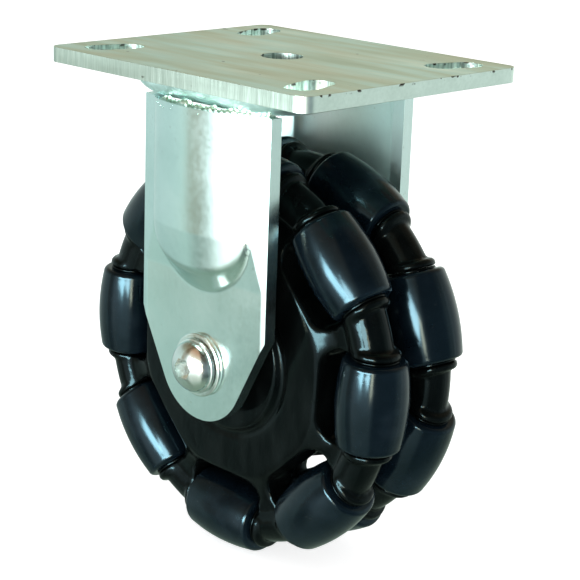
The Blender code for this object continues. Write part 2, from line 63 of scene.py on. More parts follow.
ROLLERS_PER_ROW = 8

# Camera, its angles in degrees.
CAMERA_AZIMUTH = 43.85
CAMERA_ELEVATION = 16.33
CAMERA_ROLL = 2.09
CAMERA_LENS = 106.8
CAMERA_DISTANCE = 523.9 * MM
CAMERA_TARGET = Vector((0.0, 0.0, 76.0 * MM))
CAMERA_ASIDE = 4.8 * MM
CAMERA_UP = 3.7 * MM

# Top plate.
PLATE_CORNER = 4.0 * MM
PLATE_BEVEL = 0.45 * MM
PLATE_RIM_DEPTHS = (2.5 * MM, 2.0 * MM)
NICK_DEPTHS = (0.9 * MM, 0.4 * MM)
SLOT_PLACE = (40.0 * MM, 30.0 * MM)
SLOT_WIDTH = 9.4 * MM
SLOT_LENGTH = 18.5 * MM
SLOT_SLANT = math.radians(16.0)
CENTRE_HOLE_RADIUS = 6.2 * MM
SHEAR_STEP = 0.55 * MM
SHEAR_DEPTH = 0.06 * MM
SAW_DEPTH = 0.015 * MM

# Fork.
CROWN_FOOT = (26.5 * MM, 30.0 * MM)
CROWN_RIM = (34.5 * MM, 34.0 * MM)
CROWN_CORNER = 14.0 * MM
CROWN_ROUGHNESS = (0.36, 0.48)
LEG_HALF_WIDTH = 26.0 * MM
LEG_THICKNESS = 4.0 * MM
LEG_END_RADIUS = 17.3 * MM
LEG_BEND = 12.5 * MM
LEG_EDGE = 0.55 * MM
LEG_ROUGHNESS = (0.17, 0.25)
INSIDE_DULLNESS = 0.22
INSIDE_BAND = (-15.0 * MM, -5.0 * MM)
FLUTE_HALF_WIDTH = 20.0 * MM
FLUTE_HEIGHT = 5.2 * MM
FLUTE_ROUNDNESS = 0.62
FLUTE_END = 43.0 * MM
FLUTE_FILLET = 0.42 * MM
FLUTE_END_SLOPE = math.tan(math.radians(37.0))
FLUTE_END_BLEND = 0.8 * MM
MARGIN_TILT = math.tan(math.radians(14.0))
MARGIN_WIDTH = 6.0 * MM
MARGIN_LOWER_WIDTH = 1.6 * MM
MARGIN_LOW = 27.0 * MM
MARGIN_HIGH = 41.0 * MM
WELD_RISE = 2.0 * MM
WELD_WIDTH = 3.0 * MM
WELD_START = -17.0 * MM
WELD_PITCH = 1.9 * MM
WELD_RUN_IN = 4.0 * MM
WELD_SINK = 0.3 * MM
WELD_BITE = 0.6 * MM
WELD_FILLER = 0.35 * MM
# Heights over the leg's top where the weld's painted shade, a dark teal standing for the crown's shadow,
# gives way to bare weld.
WELD_PAINTED_SHADE_RISES = (0.5 * MM, 0.8 * MM)
SPATTER_COUNT = 9

# Axle and bearings.
AXLE_RADIUS = 5.0 * MM
SLIP = 0.15 * MM
GAP = 0.3 * MM
HEAD_RIM = 1.1 * MM
SOCKET_RADIUS = 3.4 * MM
SOCKET_DEPTH = 3.6 * MM
THREAD_PITCH = 1.5 * MM
THREAD_DEPTH = 0.75 * MM
THREAD_LENGTH = 16.0 * MM
HEXAGON_LENGTH = 6.5 * MM
COLLAR_RADIUS = 7.6 * MM
COLLAR_HOLE = 5.9 * MM
COLLAR_RECESS = 2.6 * MM
BALL_COUNT = 7
BALL_RADIUS = 2.2 * MM
BALL_PITCH_RADIUS = 9.0 * MM
CAGE_HALF_DEPTH = 0.5 * MM
CAGE_HALF_WIDTH = 0.7 * MM

# Wheel rows. Distances named out are measured outwards from the middle of a row.
WHEEL_RADIUS = AXLE.z
ROLLER_RADIUS = 10.65 * MM
ROLLER_LENGTH = 26.6 * MM
ROLLER_EDGE = 1.5 * MM
ROLLER_BORE = 2.3 * MM
ROLLER_HOLLOW = 1.3 * MM
PIN_RADIUS = 2.0 * MM
PIN_LENGTH = 36.0 * MM
POCKET_HALF_LENGTH = 14.1 * MM
POCKET_FLOOR = 37.0 * MM
POCKET_CORNER = 6.0 * MM
NECK_RADIUS = 6.4 * MM
NECK_CENTRE_RADIUS = 52.5 * MM
FLANGE_RADIUS = 7.3 * MM
THRUST_WASHER_RADIUS = 7.0 * MM
FLANGE_THICKNESS = 1.5 * MM
FLANGE_REACH = 2.4 * MM
ARM_HALF_THICKNESS = 5.0 * MM
ARM_FOOT = 44.5 * MM
HUB_BORE = 8.5 * MM
HUB_FACE = 7.4 * MM
HUB_GROOVE = 7.0 * MM
HUB_VOXEL = 0.55 * MM
HUB_SMOOTHING = 5
ARM_SMOOTHING = 26
ARM_START = 25.0 * MM
ARM_END = 46.0 * MM
ARM_FADE = 2.0 * MM

# Stage. WALL and BOARD go by azimuth in degrees from -Y towards +X, SHADE by height from 0 straight
# down to 1 straight up. The light boxes' angles are in degrees and their sizes in metres.
FLOOR_RADIUS = 6.0
FLOOR_GLOW = 0.80
FILL_GLOW = 0.6
BOX_DISTANCE = 600 * MM
WHITE = (1.0, 1.0, 1.0)
BLACK = (0.0, 0.0, 0.0)
BOARD_COLOUR = (0.46, 0.45, 0.36)
BOARD_LOWER_EDGE = (-0.285, -0.265)
NADIR_COLOUR = (0.66, 0.80, 0.70)
NADIR_BAND = (-0.95, -0.55)
WALL = (
    (-180, (1.00, 1.10, 1.02)),
    (-150, (0.94, 1.06, 0.98)),
    (-118, (0.66, 0.80, 0.77)),
    (-80, (0.62, 0.78, 0.76)),
    (-56, (0.65, 0.82, 0.79)),
    (-49, (0.86, 1.10, 1.04)),
    (-46, (0.41, 0.51, 0.48)),
    (-36, (0.47, 0.54, 0.50)),
    (-29, (0.80, 0.86, 0.82)),
    (-22, (1.9, 1.9, 1.9)),
    (34, (1.9, 1.9, 1.9)),
    (46, (0.20, 0.24, 0.26)),
    (112, (0.18, 0.24, 0.26)),
    (122, (0.50, 0.59, 0.56)),
    (128, (0.62, 0.73, 0.69)),
    (132, (0.48, 0.56, 0.53)),
    (136, (0.52, 0.61, 0.58)),
    (138.5, (1.04, 1.16, 1.11)),
    (142, (0.98, 1.09, 1.05)),
    (146, (0.70, 0.78, 0.75)),
    (180, (1.00, 1.10, 1.02)),
)
BOARD = ((-49.5, BLACK), (-48.5, WHITE), (-38, WHITE), (-30, BLACK))
SHADE = (
    (0.00, (0.36, 0.42, 0.37)),
    (0.25, (0.44, 0.49, 0.44)),
    (0.35, (0.80, 0.84, 0.82)),
    (0.42, WHITE),
    (0.50, WHITE),
    (0.63, (0.92, 0.90, 0.88)),
    (0.74, (0.52, 0.42, 0.32)),
    (0.92, (0.34, 0.19, 0.11)),
    (1.00, (0.26, 0.17, 0.11)),
)
LIGHT_BOXES = (
    # Name, azimuth, elevation, width, height, strength, colour and roll.
    ("cool_box", 0.0, 4.0, 0.26, 0.18, 44.0, (0.74, 0.94, 0.98), -24.0),
    ("front_box", 23.0, 5.0, 0.22, 0.20, 38.0, (0.84, 0.98, 1.0), -24.0),
    ("warm_box", 38.0, -2.0, 0.07, 0.22, 24.0, (1.0, 0.72, 0.48), 0.0),
)


# ---------------- mesh helpers


def bridge(bm, first, second):
    """Faces between two loops of points, or between a loop and a point."""
    count = max(len(first), len(second))
    for i in range(count):
        j = (i + 1) % count
        near = [first[i % len(first)], first[j % len(first)]]
        far = [second[j % len(second)], second[i % len(second)]]
        bm.faces.new(list(dict.fromkeys(near + far)))


def loft(bm, rings):
    """Faces between each loop and the next."""
    for first, second in zip(rings, rings[1:]):
        bridge(bm, first, second)


def arc(centre, radius, start, end, steps):
    """Points along an arc, both ends included. Angles are in degrees."""
    points = []
    for i in range(steps + 1):
        angle = math.radians(start + (end - start) * i / steps)
        points.append((centre[0] + radius * math.cos(angle), centre[1] + radius * math.sin(angle)))
    return points


def rounded(points, radius, steps=4, closed=True):
    """The outline with its corners rounded off, each by the radius or its share of the shorter side."""
    outline = []
    for i, point in enumerate(points):
        corner = Vector(point)
        if not closed and i in (0, len(points) - 1):
            outline.append(corner)
            continue
        before = Vector(points[i - 1]) - corner
        after = Vector(points[(i + 1) % len(points)]) - corner
        reach = min(radius, before.length * CORNER_SHARE, after.length * CORNER_SHARE)
        start = corner + before.normalized() * reach
        end = corner + after.normalized() * reach
        for step in range(steps + 1):
            part = step / steps
            outline.append(start.lerp(corner, part).lerp(corner.lerp(end, part), part))
    return outline


def rounded_rectangle(half_x, half_y, radius, steps):
    """A rectangle's outline about the origin, with round corners."""
    outline = []
    for start, side_x, side_y in ((0, 1, 1), (90, -1, 1), (180, -1, -1), (270, 1, -1)):
        centre = (side_x * (half_x - radius), side_y * (half_y - radius))
        outline += arc(centre, radius, start, start + 90, steps)
    return outline


def polygon(radius, sides):
    """The corners of a regular polygon about the origin."""
    return arc((0.0, 0.0), radius, 0, 360 - 360 / sides, sides - 1)


def rod(radius, start, end):
    """The open profile of a round bar."""
    return [(0.0, start), (radius, start), (radius, end), (0.0, end)]


def ring(inner, outer, start, end):
    """The closed section of a plain ring."""
    return [(inner, start), (outer, start), (outer, end), (inner, end)]


def lathe(bm, profile, place, segments=72, closed=True):
    """A solid turned about the placing's Y axis from (radius, along) points."""
    rings = []
    for radius, along in profile:
        if radius < TINY:
            rings.append([bm.verts.new(place @ Vector((0.0, along, 0.0)))])
            continue
        loop = []
        for i in range(segments):
            angle = 2 * math.pi * i / segments
            point = Vector((radius * math.cos(angle), along, radius * math.sin(angle)))
            loop.append(bm.verts.new(place @ point))
        rings.append(loop)
    loft(bm, rings + rings[:1] if closed else rings)


def prism(bm, outline, low, high, place=Matrix.Identity(4)):
    """A flat-ended solid on an outline in the placing's XY plane."""
    bottom = [bm.verts.new(place @ Vector((x, y, low))) for x, y in outline]
    top = [bm.verts.new(place @ Vector((x, y, high))) for x, y in outline]
    bm.faces.new(bottom)
    bm.faces.new(top)
    bridge(bm, bottom, top)


def linked(name, data):
    """A new object in the scene."""
    obj = bpy.data.objects.new(name, data)
    bpy.context.scene.collection.objects.link(obj)
    return obj


def solid(name, bm):
    """An object made from a bmesh, its faces turned outwards and shaded smooth up to the sharp angle."""
    bmesh.ops.recalc_face_normals(bm, faces=bm.faces)
    mesh = bpy.data.meshes.new(name)
    bm.to_mesh(mesh)
    bm.free()
    mesh.shade_smooth()
    mesh.set_sharp_from_angle(angle=SHARP_ANGLE)
    return linked(name, mesh)


def apply_modifiers(obj):
    """Puts the result of the object's modifiers in their place."""
    graph = bpy.context.evaluated_depsgraph_get()
    mesh = bpy.data.meshes.new_from_object(obj.evaluated_get(graph))
    obj.modifiers.clear()
    obj.data = mesh


def boolean(obj, tool_bm, operation="DIFFERENCE"):
    """Cuts the object by another solid, or joins them, or keeps what they share."""
    tool = solid("tool", tool_bm)
    modifier = obj.modifiers.new("boolean", "BOOLEAN")
    modifier.operation = operation
    modifier.object = tool
    apply_modifiers(obj)
    bpy.data.objects.remove(tool)


def soften(obj, width, angle=40.0, segments=3):
    """Rounds the object's sharp edges and keeps its flats flat."""
    bevel = obj.modifiers.new("bevel", "BEVEL")
    bevel.width = width
    bevel.segments = segments
    bevel.limit_method = "ANGLE"
    bevel.angle_limit = math.radians(angle)
    bevel.harden_normals = True
    apply_modifiers(obj)


def finish_piece(obj, slot, body, *replaced, material=None):
    """Gives a piece its shading, its material, its body and the CAD nodes it stands for.

    Softened pieces keep the normals that they have, and the plastic is smooth all over.
    """
    obj.data.shade_smooth()
    if not obj.data.has_custom_normals and slot != "black_plastic":
        obj.data.set_sharp_from_angle(angle=SHARP_ANGLE)
    obj.data.materials.clear()
    obj.data.materials.append(material or MATERIALS[slot])
    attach(obj, body)
    if replaced:
        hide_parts(*replaced)


# ---------------- materials


def add(tree, kind, inputs=None, **settings):
    """A node with its settings. Each input, by name or number, is set to a value or linked to a socket."""
    node = tree.nodes.new(kind)
    for name, value in settings.items():
        setattr(node, name, value)
    for name, value in (inputs or {}).items():
        if isinstance(value, bpy.types.NodeSocket):
            tree.links.new(value, node.inputs[name])
        else:
            node.inputs[name].default_value = value
    return node


def grain(tree, scale, stretch=(1.0, 1.0, 1.0), detail=3.0, seed=0.0):
    """Noise over the object: cells about one over the scale, and longer where the stretch is small."""
    place = add(tree, "ShaderNodeTexCoord").outputs["Object"]
    inputs = {"Vector": place, "Scale": stretch, "Location": (seed, seed, seed)}
    moved = add(tree, "ShaderNodeMapping", inputs)
    texture = add(tree, "ShaderNodeTexNoise", {"Vector": moved.outputs[0], "Scale": scale, "Detail": detail})
    return texture.outputs["Fac"]


def ramp(tree, factor, *stops):
    """A colour for each value of the factor."""
    node = add(tree, "ShaderNodeValToRGB", {"Fac": factor})
    elements = node.color_ramp.elements
    for i, (position, colour) in enumerate(stops):
        element = elements[i] if i < 2 else elements.new(position)
        element.position = position
        element.color = (*colour, 1.0)
    return node.outputs["Color"]


def span(tree, factor, low, high, start=0.3, end=0.7):
    """A number that goes from low to high as the factor goes from start to end."""
    inputs = {"Value": factor, "From Min": start, "From Max": end, "To Min": low, "To Max": high}
    return add(tree, "ShaderNodeMapRange", inputs).outputs["Result"]


def blend(tree, factor, first, second, how="MIX"):
    """Two colours blended by a factor."""
    inputs = {0: factor}
    for index, colour in ((6, first), (7, second)):
        inputs[index] = colour if isinstance(colour, bpy.types.NodeSocket) else (*colour, 1.0)
    return add(tree, "ShaderNodeMix", inputs, data_type="RGBA", blend_type=how).outputs[2]


def math_node(tree, operation, first, second=0.0):
    """One sum on two numbers."""
    return add(tree, "ShaderNodeMath", {0: first, 1: second}, operation=operation).outputs[0]


def product(tree, first, second):
    """Two numbers multiplied."""
    return math_node(tree, "MULTIPLY", first, second)


def magnitude(tree, number):
    """The number without its sign."""
    return math_node(tree, "ABSOLUTE", number)


def axes_of(tree, coordinate):
    """The X, Y and Z of one of the texture coordinates."""
    vector = add(tree, "ShaderNodeTexCoord").outputs[coordinate]
    return add(tree, "ShaderNodeSeparateXYZ", {"Vector": vector}).outputs


def bumps(tree, *layers):
    """A normal from layers of (height, distance), the finest last."""
    normal = None
    for height, distance in layers:
        inputs = {"Height": height, "Distance": distance, "Strength": 1.0}
        if normal:
            inputs["Normal"] = normal
        normal = add(tree, "ShaderNodeBump", inputs).outputs["Normal"]
    return normal


def shader_material(name, metallic=0.0, specular=0.5, tint=WHITE):
    """A material with its Principled shader. Values that don't vary sit on the shader's own sockets."""
    material = bpy.data.materials.new(name)
    material.use_nodes = True
    tree = material.node_tree
    shader = tree.nodes["Principled BSDF"]
    shader.inputs["Metallic"].default_value = metallic
    shader.inputs["Specular IOR Level"].default_value = specular
    shader.inputs["Specular Tint"].default_value = (*tint, 1.0)
    return material, tree, shader


def connect(tree, shader, colour, roughness, normal):
    """Links what varies to the shader."""
    tree.links.new(colour, shader.inputs["Base Color"])
    tree.links.new(roughness, shader.inputs["Roughness"])
    tree.links.new(normal, shader.inputs["Normal"])


def zinc_plate():
    """Passivated rolled steel: long streaks along X, cloudy patches, dark specks and worn top edges.

    The two sides along X are sheared, the two along Y are sawn, and the sides of the holes are punched.
    """
    material, tree, shader = shader_material("zinc_plate", metallic=1.0)
    streak = grain(tree, 75.0, (0.30, 2.0, 2.0), 6.0)
    cloud = grain(tree, 45.0, (0.6, 1.4, 1.0), 4.0, 4.0)
    hair = grain(tree, 900.0, (0.03, 1.0, 1.0), 3.0, 2.0)
    shear = grain(tree, 3200.0, (1.0, 0.02, 0.05), 2.0, 6.0)
    pales = ((0.28, (0.56, 0.66, 0.50)), (0.44, (0.62, 0.73, 0.58)))
    pales += ((0.56, (0.60, 0.78, 0.68)), (0.74, (0.74, 0.84, 0.70)))
    pale = ramp(tree, streak, *pales)
    warm = ramp(tree, hair, (0.3, (0.62, 0.62, 0.42)), (0.7, (0.72, 0.72, 0.54)))
    flat = blend(tree, span(tree, cloud, 0.0, 0.70, 0.42, 0.68), pale, warm)
    greys = ((0.34, (0.41, 0.46, 0.40)), (0.50, (0.47, 0.52, 0.46)), (0.66, (0.53, 0.58, 0.52)))
    side = ramp(tree, shear, *greys)
    facing = axes_of(tree, "Normal")
    place = axes_of(tree, "Object")
    sawn = ramp(tree, hair, (0.3, (0.76, 0.88, 0.82)), (0.7, (0.84, 0.96, 0.90)))
    endways = magnitude(tree, facing["X"])
    side = blend(tree, span(tree, endways, 0.0, 1.0, 0.5, 0.8), side, sawn)
    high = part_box("top_plate")[1]
    squared = product(tree, magnitude(tree, place["X"]), high.y / high.x)
    outermost = math_node(tree, "MAXIMUM", squared, magnitude(tree, place["Y"]))
    inwards = span(tree, outermost, 1.0, 0.0, *(high.y - depth for depth in PLATE_RIM_DEPTHS))
    punched = ramp(tree, shear, (0.36, (0.34, 0.43, 0.39)), (0.62, (0.84, 0.94, 0.88)))
    side = blend(tree, inwards, side, punched)
    colour = blend(tree, span(tree, magnitude(tree, facing["Z"]), 1.0, 0.0, 0.35, 0.75), flat, side)
    nick = grain(tree, 340.0, detail=2.0, seed=11.0)
    edge = span(tree, place["Z"], 0.0, 1.0, *(high.z - depth for depth in NICK_DEPTHS))
    worn = product(tree, edge, span(tree, facing["X"], 0.0, 1.0, 0.10, 0.30))
    worn = product(tree, worn, span(tree, nick, 0.0, 1.0, 0.57, 0.61))
    colour = blend(tree, worn, colour, (0.06, 0.05, 0.04))
    speck = grain(tree, 260.0, detail=2.0, seed=9.0)
    colour = blend(tree, span(tree, speck, 0.0, 0.7, 0.74, 0.78), colour, (0.08, 0.07, 0.05))
    roughness = span(tree, streak, 0.44, 0.34)
    normal = bumps(tree, (cloud, 0.012 * MM), (hair, 0.012 * MM), (shear, 0.014 * MM))
    connect(tree, shader, colour, roughness, normal)
    return material


def zinc_pressing(name, smoothest, roughest):
    """Bright zinc on pressed steel: faint spangle, fine upright draw lines and small dents.

    Faces that look inwards, at the wheel, are duller.
    """
    material, tree, shader = shader_material(name, metallic=1.0)
    cloud = grain(tree, 55.0, detail=4.0)
    spangle = grain(tree, 700.0, detail=2.0, seed=3.0)
    draw = grain(tree, 1100.0, (1.0, 1.0, 0.05), 3.0, 5.0)
    base = ramp(tree, cloud, (0.32, (0.64, 0.79, 0.77)), (0.5, (0.69, 0.84, 0.82)), (0.7, (0.74, 0.87, 0.85)))
    dull = ramp(tree, spangle, (0.35, (0.58, 0.70, 0.66)), (0.65, (0.76, 0.90, 0.87)))
    colour = blend(tree, span(tree, draw, 0.0, 0.18), base, dull)
    speck = grain(tree, 900.0, detail=1.0, seed=8.0)
    colour = blend(tree, span(tree, speck, 0.0, 0.5, 0.72, 0.80), colour, (0.48, 0.54, 0.48))
    patches = math_node(tree, "ADD", cloud, span(tree, spangle, -0.1, 0.1))
    outwards = product(tree, axes_of(tree, "Normal")["Y"], axes_of(tree, "Object")["Y"])
    inside = span(tree, outwards, INSIDE_DULLNESS, 0.0, *INSIDE_BAND)
    roughness = math_node(tree, "ADD", span(tree, patches, smoothest, roughest), inside)
    dent = grain(tree, 130.0, detail=2.0, seed=1.0)
    normal = bumps(tree, (dent, 0.02 * MM), (draw, 0.003 * MM), (spangle, 0.006 * MM))
    connect(tree, shader, colour, roughness, normal)
    return material


def weld_metal():
    """Plated weld: bright ripples with darker pits, and a smooth foot coloured dark teal as painted shade
    under the crown.
    """
    material, tree, shader = shader_material("weld_metal", metallic=1.0)
    lump = grain(tree, 520.0, detail=3.0)
    pit = grain(tree, 1400.0, detail=2.0, seed=2.0)
    base = ramp(tree, lump, (0.3, (0.46, 0.51, 0.43)), (0.46, (0.64, 0.70, 0.60)), (0.66, (0.78, 0.80, 0.72)))
    colour = blend(tree, span(tree, pit, 0.0, 0.6, 0.66, 0.76), base, (0.30, 0.28, 0.20))
    leg_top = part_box("fork_leg_front")[1].z
    # Painted shade: the weld below these heights is coloured dark teal to stand for the shadow under the
    # crown.
    raised = span(tree, axes_of(tree, "Object")["Z"], 0.0, 1.0, *(leg_top + rise for rise in WELD_PAINTED_SHADE_RISES))
    colour = blend(tree, raised, (0.36, 0.50, 0.44), colour)
    normal = bumps(tree, (product(tree, lump, raised), 0.12 * MM), (pit, 0.01 * MM))
    connect(tree, shader, colour, span(tree, pit, 0.26, 0.40), normal)
    return material


def bright_steel():
    """Plated fastener steel: nearly a mirror, with fine handling marks."""
    material, tree, shader = shader_material("bright_steel", metallic=1.0)
    cloud = grain(tree, 160.0, detail=3.0)
    scratch = grain(tree, 1700.0, (1.0, 0.12, 0.5), 2.0, 3.0)
    colour = ramp(tree, cloud, (0.3, (0.66, 0.72, 0.70)), (0.7, (0.82, 0.88, 0.85)))
    roughness = span(tree, scratch, 0.10, 0.24)
    connect(tree, shader, colour, roughness, bumps(tree, (cloud, 0.05 * MM), (scratch, 0.006 * MM)))
    return material


def plain_steel():
    """Turned steel: fine rings about the axle and a thin film of oil and dust."""
    material, tree, shader = shader_material("plain_steel", metallic=1.0)
    film = grain(tree, 220.0, detail=4.0)
    rings = grain(tree, 1900.0, (0.1, 1.0, 0.1), 2.0, 7.0)
    bare = ramp(tree, rings, (0.35, (0.42, 0.44, 0.43)), (0.65, (0.60, 0.62, 0.60)))
    colour = blend(tree, span(tree, film, 0.0, 0.55, 0.5, 0.72), bare, (0.20, 0.18, 0.14))
    connect(tree, shader, colour, span(tree, film, 0.28, 0.46), bumps(tree, (rings, 0.015 * MM)))
    return material


def black_plastic():
    """Glossy black moulding: orange peel, soft scuffs and dust in its hollows."""
    material, tree, shader = shader_material("black_plastic", specular=0.14, tint=(0.62, 0.92, 1.0))
    peel = grain(tree, 330.0, detail=2.0)
    scuff = grain(tree, 160.0, (1.0, 1.0, 0.35), 5.0, 4.0)
    fine = grain(tree, 2400.0, detail=1.0, seed=6.0)
    base = ramp(tree, scuff, (0.40, (0.0016, 0.0024, 0.0024)), (0.72, (0.0050, 0.0065, 0.0062)))
    hollow = add(tree, "ShaderNodeNewGeometry").outputs["Pointiness"]
    colour = blend(tree, span(tree, hollow, 0.55, 0.0, 0.40, 0.48), base, (0.010, 0.011, 0.010))
    roughness = span(tree, scuff, 0.12, 0.26, 0.40, 0.70)
    connect(tree, shader, colour, roughness, bumps(tree, (peel, 0.06 * MM), (fine, 0.004 * MM)))
    return material


def roller_polyurethane():
    """Dark navy polyurethane: semi-gloss, rubbed paler and duller in patches."""
    material, tree, shader = shader_material("roller_polyurethane", specular=0.30, tint=(0.55, 0.86, 1.0))
    rub = grain(tree, 120.0, (1.0, 0.5, 1.0), 5.0)
    turned = grain(tree, 1500.0, (0.12, 1.0, 0.12), 2.0, 3.0)
    fine = grain(tree, 2600.0, detail=2.0, seed=5.0)
    base = ramp(
        tree,
        rub,
        (0.34, (0.0022, 0.0058, 0.0095)),
        (0.55, (0.0040, 0.0090, 0.0145)),
        (0.75, (0.0090, 0.0165, 0.0240)),
    )
    dust = grain(tree, 700.0, detail=3.0, seed=8.0)
    colour = blend(tree, span(tree, dust, 0.0, 0.30, 0.64, 0.80), base, (0.030, 0.034, 0.034))
    roughness = span(tree, rub, 0.12, 0.22)
    normal = bumps(tree, (rub, 0.05 * MM), (turned, 0.005 * MM), (fine, 0.004 * MM))
    connect(tree, shader, colour, roughness, normal)
    return material


MATERIALS = {
    "zinc_plate": zinc_plate(),
    "zinc_pressing": zinc_pressing("zinc_pressing", *LEG_ROUGHNESS),
    "weld_metal": weld_metal(),
    "bright_steel": bright_steel(),
    "plain_steel": plain_steel(),
    "black_plastic": black_plastic(),
    "roller_polyurethane": roller_polyurethane(),
}


# ---------------- top plate


def sheared_outline(half_x, half_y):
    """The plate's outline, with shear marks along its two long sides and finer saw marks on the others."""
    rng = random.Random(7)
    outline = []
    corners = rounded_rectangle(half_x, half_y, PLATE_CORNER, 12)
    for start, end in zip(corners, corners[1:] + corners[:1]):
        outline.append(start)
        run = math.dist(start, end)
        if run < 2 * PLATE_CORNER:
            continue
        steps = round(run / SHEAR_STEP)
        axis = 1 if abs(start[1] - end[1]) < TINY else 0
        depth = SHEAR_DEPTH if axis else SAW_DEPTH
        for step in range(1, steps):
            point = [start[i] + (end[i] - start[i]) * step / steps for i in (0, 1)]
            point[axis] -= math.copysign(depth * rng.random(), point[axis])
            outline.append(tuple(point))
    return outline


def slot_outline(centre, direction):
    """A slot with round ends, its length along the direction."""
    reach = (SLOT_LENGTH - SLOT_WIDTH) / 2
    outline = []
    for side in (1, -1):
        end = (centre[0] + side * reach * direction[0], centre[1] + side * reach * direction[1])
        heading = math.degrees(math.atan2(side * direction[1], side * direction[0]))
        outline += arc(end, SLOT_WIDTH / 2, heading - 90, heading + 90, 20)
    return outline


def make_top_plate():
    """The plate, with its four slanted slots and its centre hole."""
    low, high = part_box("top_plate")
    bm = bmesh.new()
    prism(bm, sheared_outline(high.x, high.y), low.z, high.z)
    plate = solid("top_plate_steel", bm)
    holes = bmesh.new()
    past = 2 * MM
    for side_x in (1, -1):
        for side_y in (1, -1):
            direction = (side_x * side_y * math.sin(SLOT_SLANT), math.cos(SLOT_SLANT))
            outline = slot_outline((side_x * SLOT_PLACE[0], side_y * SLOT_PLACE[1]), direction)
            prism(holes, outline, low.z - past, high.z + past)
    prism(holes, polygon(CENTRE_HOLE_RADIUS, 60), low.z - past, high.z + past)
    boolean(plate, holes)
    soften(plate, PLATE_BEVEL, angle=50.0)
    finish_piece(plate, "zinc_plate", "fork", "top_plate")


# ---------------- fork


def crown_half_sizes(swing):
    """Half the crown's length and depth where its dished side has turned by the swing angle."""
    out = math.sin(swing)
    half_x = CROWN_FOOT[0] + (CROWN_RIM[0] - CROWN_FOOT[0]) * out
    half_y = CROWN_FOOT[1] + (CROWN_RIM[1] - CROWN_FOOT[1]) * out
    return half_x, half_y


def make_crown():
    """The dished piece under the plate, which flares from its foot to its rim."""
    low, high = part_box("fork_crown")
    bm = bmesh.new()
    loops = []
    levels = 14
    for i in range(levels):
        swing = math.pi / 2 * i / (levels - 1)
        half_x, half_y = crown_half_sizes(swing)
        height = low.z + (high.z - low.z) * (1 - math.cos(swing))
        outline = rounded_rectangle(half_x, half_y, CROWN_CORNER, 14)
        loops.append([bm.verts.new((x, y, height)) for x, y in outline])
    bm.faces.new(loops[0])
    bm.faces.new(loops[-1])
    loft(bm, loops)
    crown = solid("fork_crown_dish", bm)
    hole = bmesh.new()
    prism(hole, polygon(CENTRE_HOLE_RADIUS, 60), low.z - MM, high.z + MM)
    boolean(crown, hole)
    soften(crown, 0.3 * MM, angle=55.0)
    dull = zinc_pressing("zinc_dish", *CROWN_ROUGHNESS)
    finish_piece(crown, "zinc_pressing", "fork", "fork_crown", material=dull)


def leg_half_width(height):
    """Half the leg's width at a height over the axle: straight, then a taper, then a round end."""
    if height >= LEG_BEND:
        return LEG_HALF_WIDTH
    corner = math.hypot(LEG_HALF_WIDTH, LEG_BEND)
    touch = math.atan2(LEG_BEND, LEG_HALF_WIDTH) - math.acos(LEG_END_RADIUS / corner)
    touch_x = LEG_END_RADIUS * math.cos(touch)
    touch_z = LEG_END_RADIUS * math.sin(touch)
    if height >= touch_z:
        return touch_x + (LEG_HALF_WIDTH - touch_x) * (height - touch_z) / (LEG_BEND - touch_z)
    return math.sqrt(max(LEG_END_RADIUS**2 - height**2, 0.0))


def flute_rise(x, height):
    """How far the flute stands out: half round across, and cut off by a slope at its round lower end."""
    across = abs(x) / FLUTE_HALF_WIDTH
    if across >= 1.0:
        return 0.0
    full = FLUTE_HEIGHT * (1 - across**2) ** FLUTE_ROUNDNESS
    slope = FLUTE_END_SLOPE * (height - FLUTE_END + FLUTE_HALF_WIDTH * math.sqrt(1 - across**2))
    if slope <= 0.0:
        return 0.0
    mixed = max(FLUTE_END_BLEND - abs(full - slope), 0.0) / FLUTE_END_BLEND
    return max(min(full, slope) - FLUTE_END_BLEND * mixed**2 / 4, 0.0)


def leg_surface(x, height):
    """How far the leg's face stands out from its edges: margins that slope up to the filleted flute."""
    samples = 7
    rise = 0.0
    below = min(height - FLUTE_END, 0.0)
    away = math.hypot(x, below)
    for i in range(samples):
        shift = FLUTE_FILLET * (2 * i / (samples - 1) - 1)
        stretch = (away + shift) / away if away > FLUTE_FILLET else 1.0
        rise += flute_rise(x * stretch, max(height, FLUTE_END) + below * stretch) / samples
    part = min(max((height - MARGIN_LOW) / (MARGIN_HIGH - MARGIN_LOW), 0.0), 1.0)
    width = MARGIN_LOWER_WIDTH + (MARGIN_WIDTH - MARGIN_LOWER_WIDTH) * part
    return rise + MARGIN_TILT * min(LEG_HALF_WIDTH - abs(x), width)


def leg_flat(end, side):
    """How far out from the middle the outer face of a leg's edges lies."""
    low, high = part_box(f"fork_leg_{end}")
    return (low.y if side > 0 else -high.y) + LEG_THICKNESS


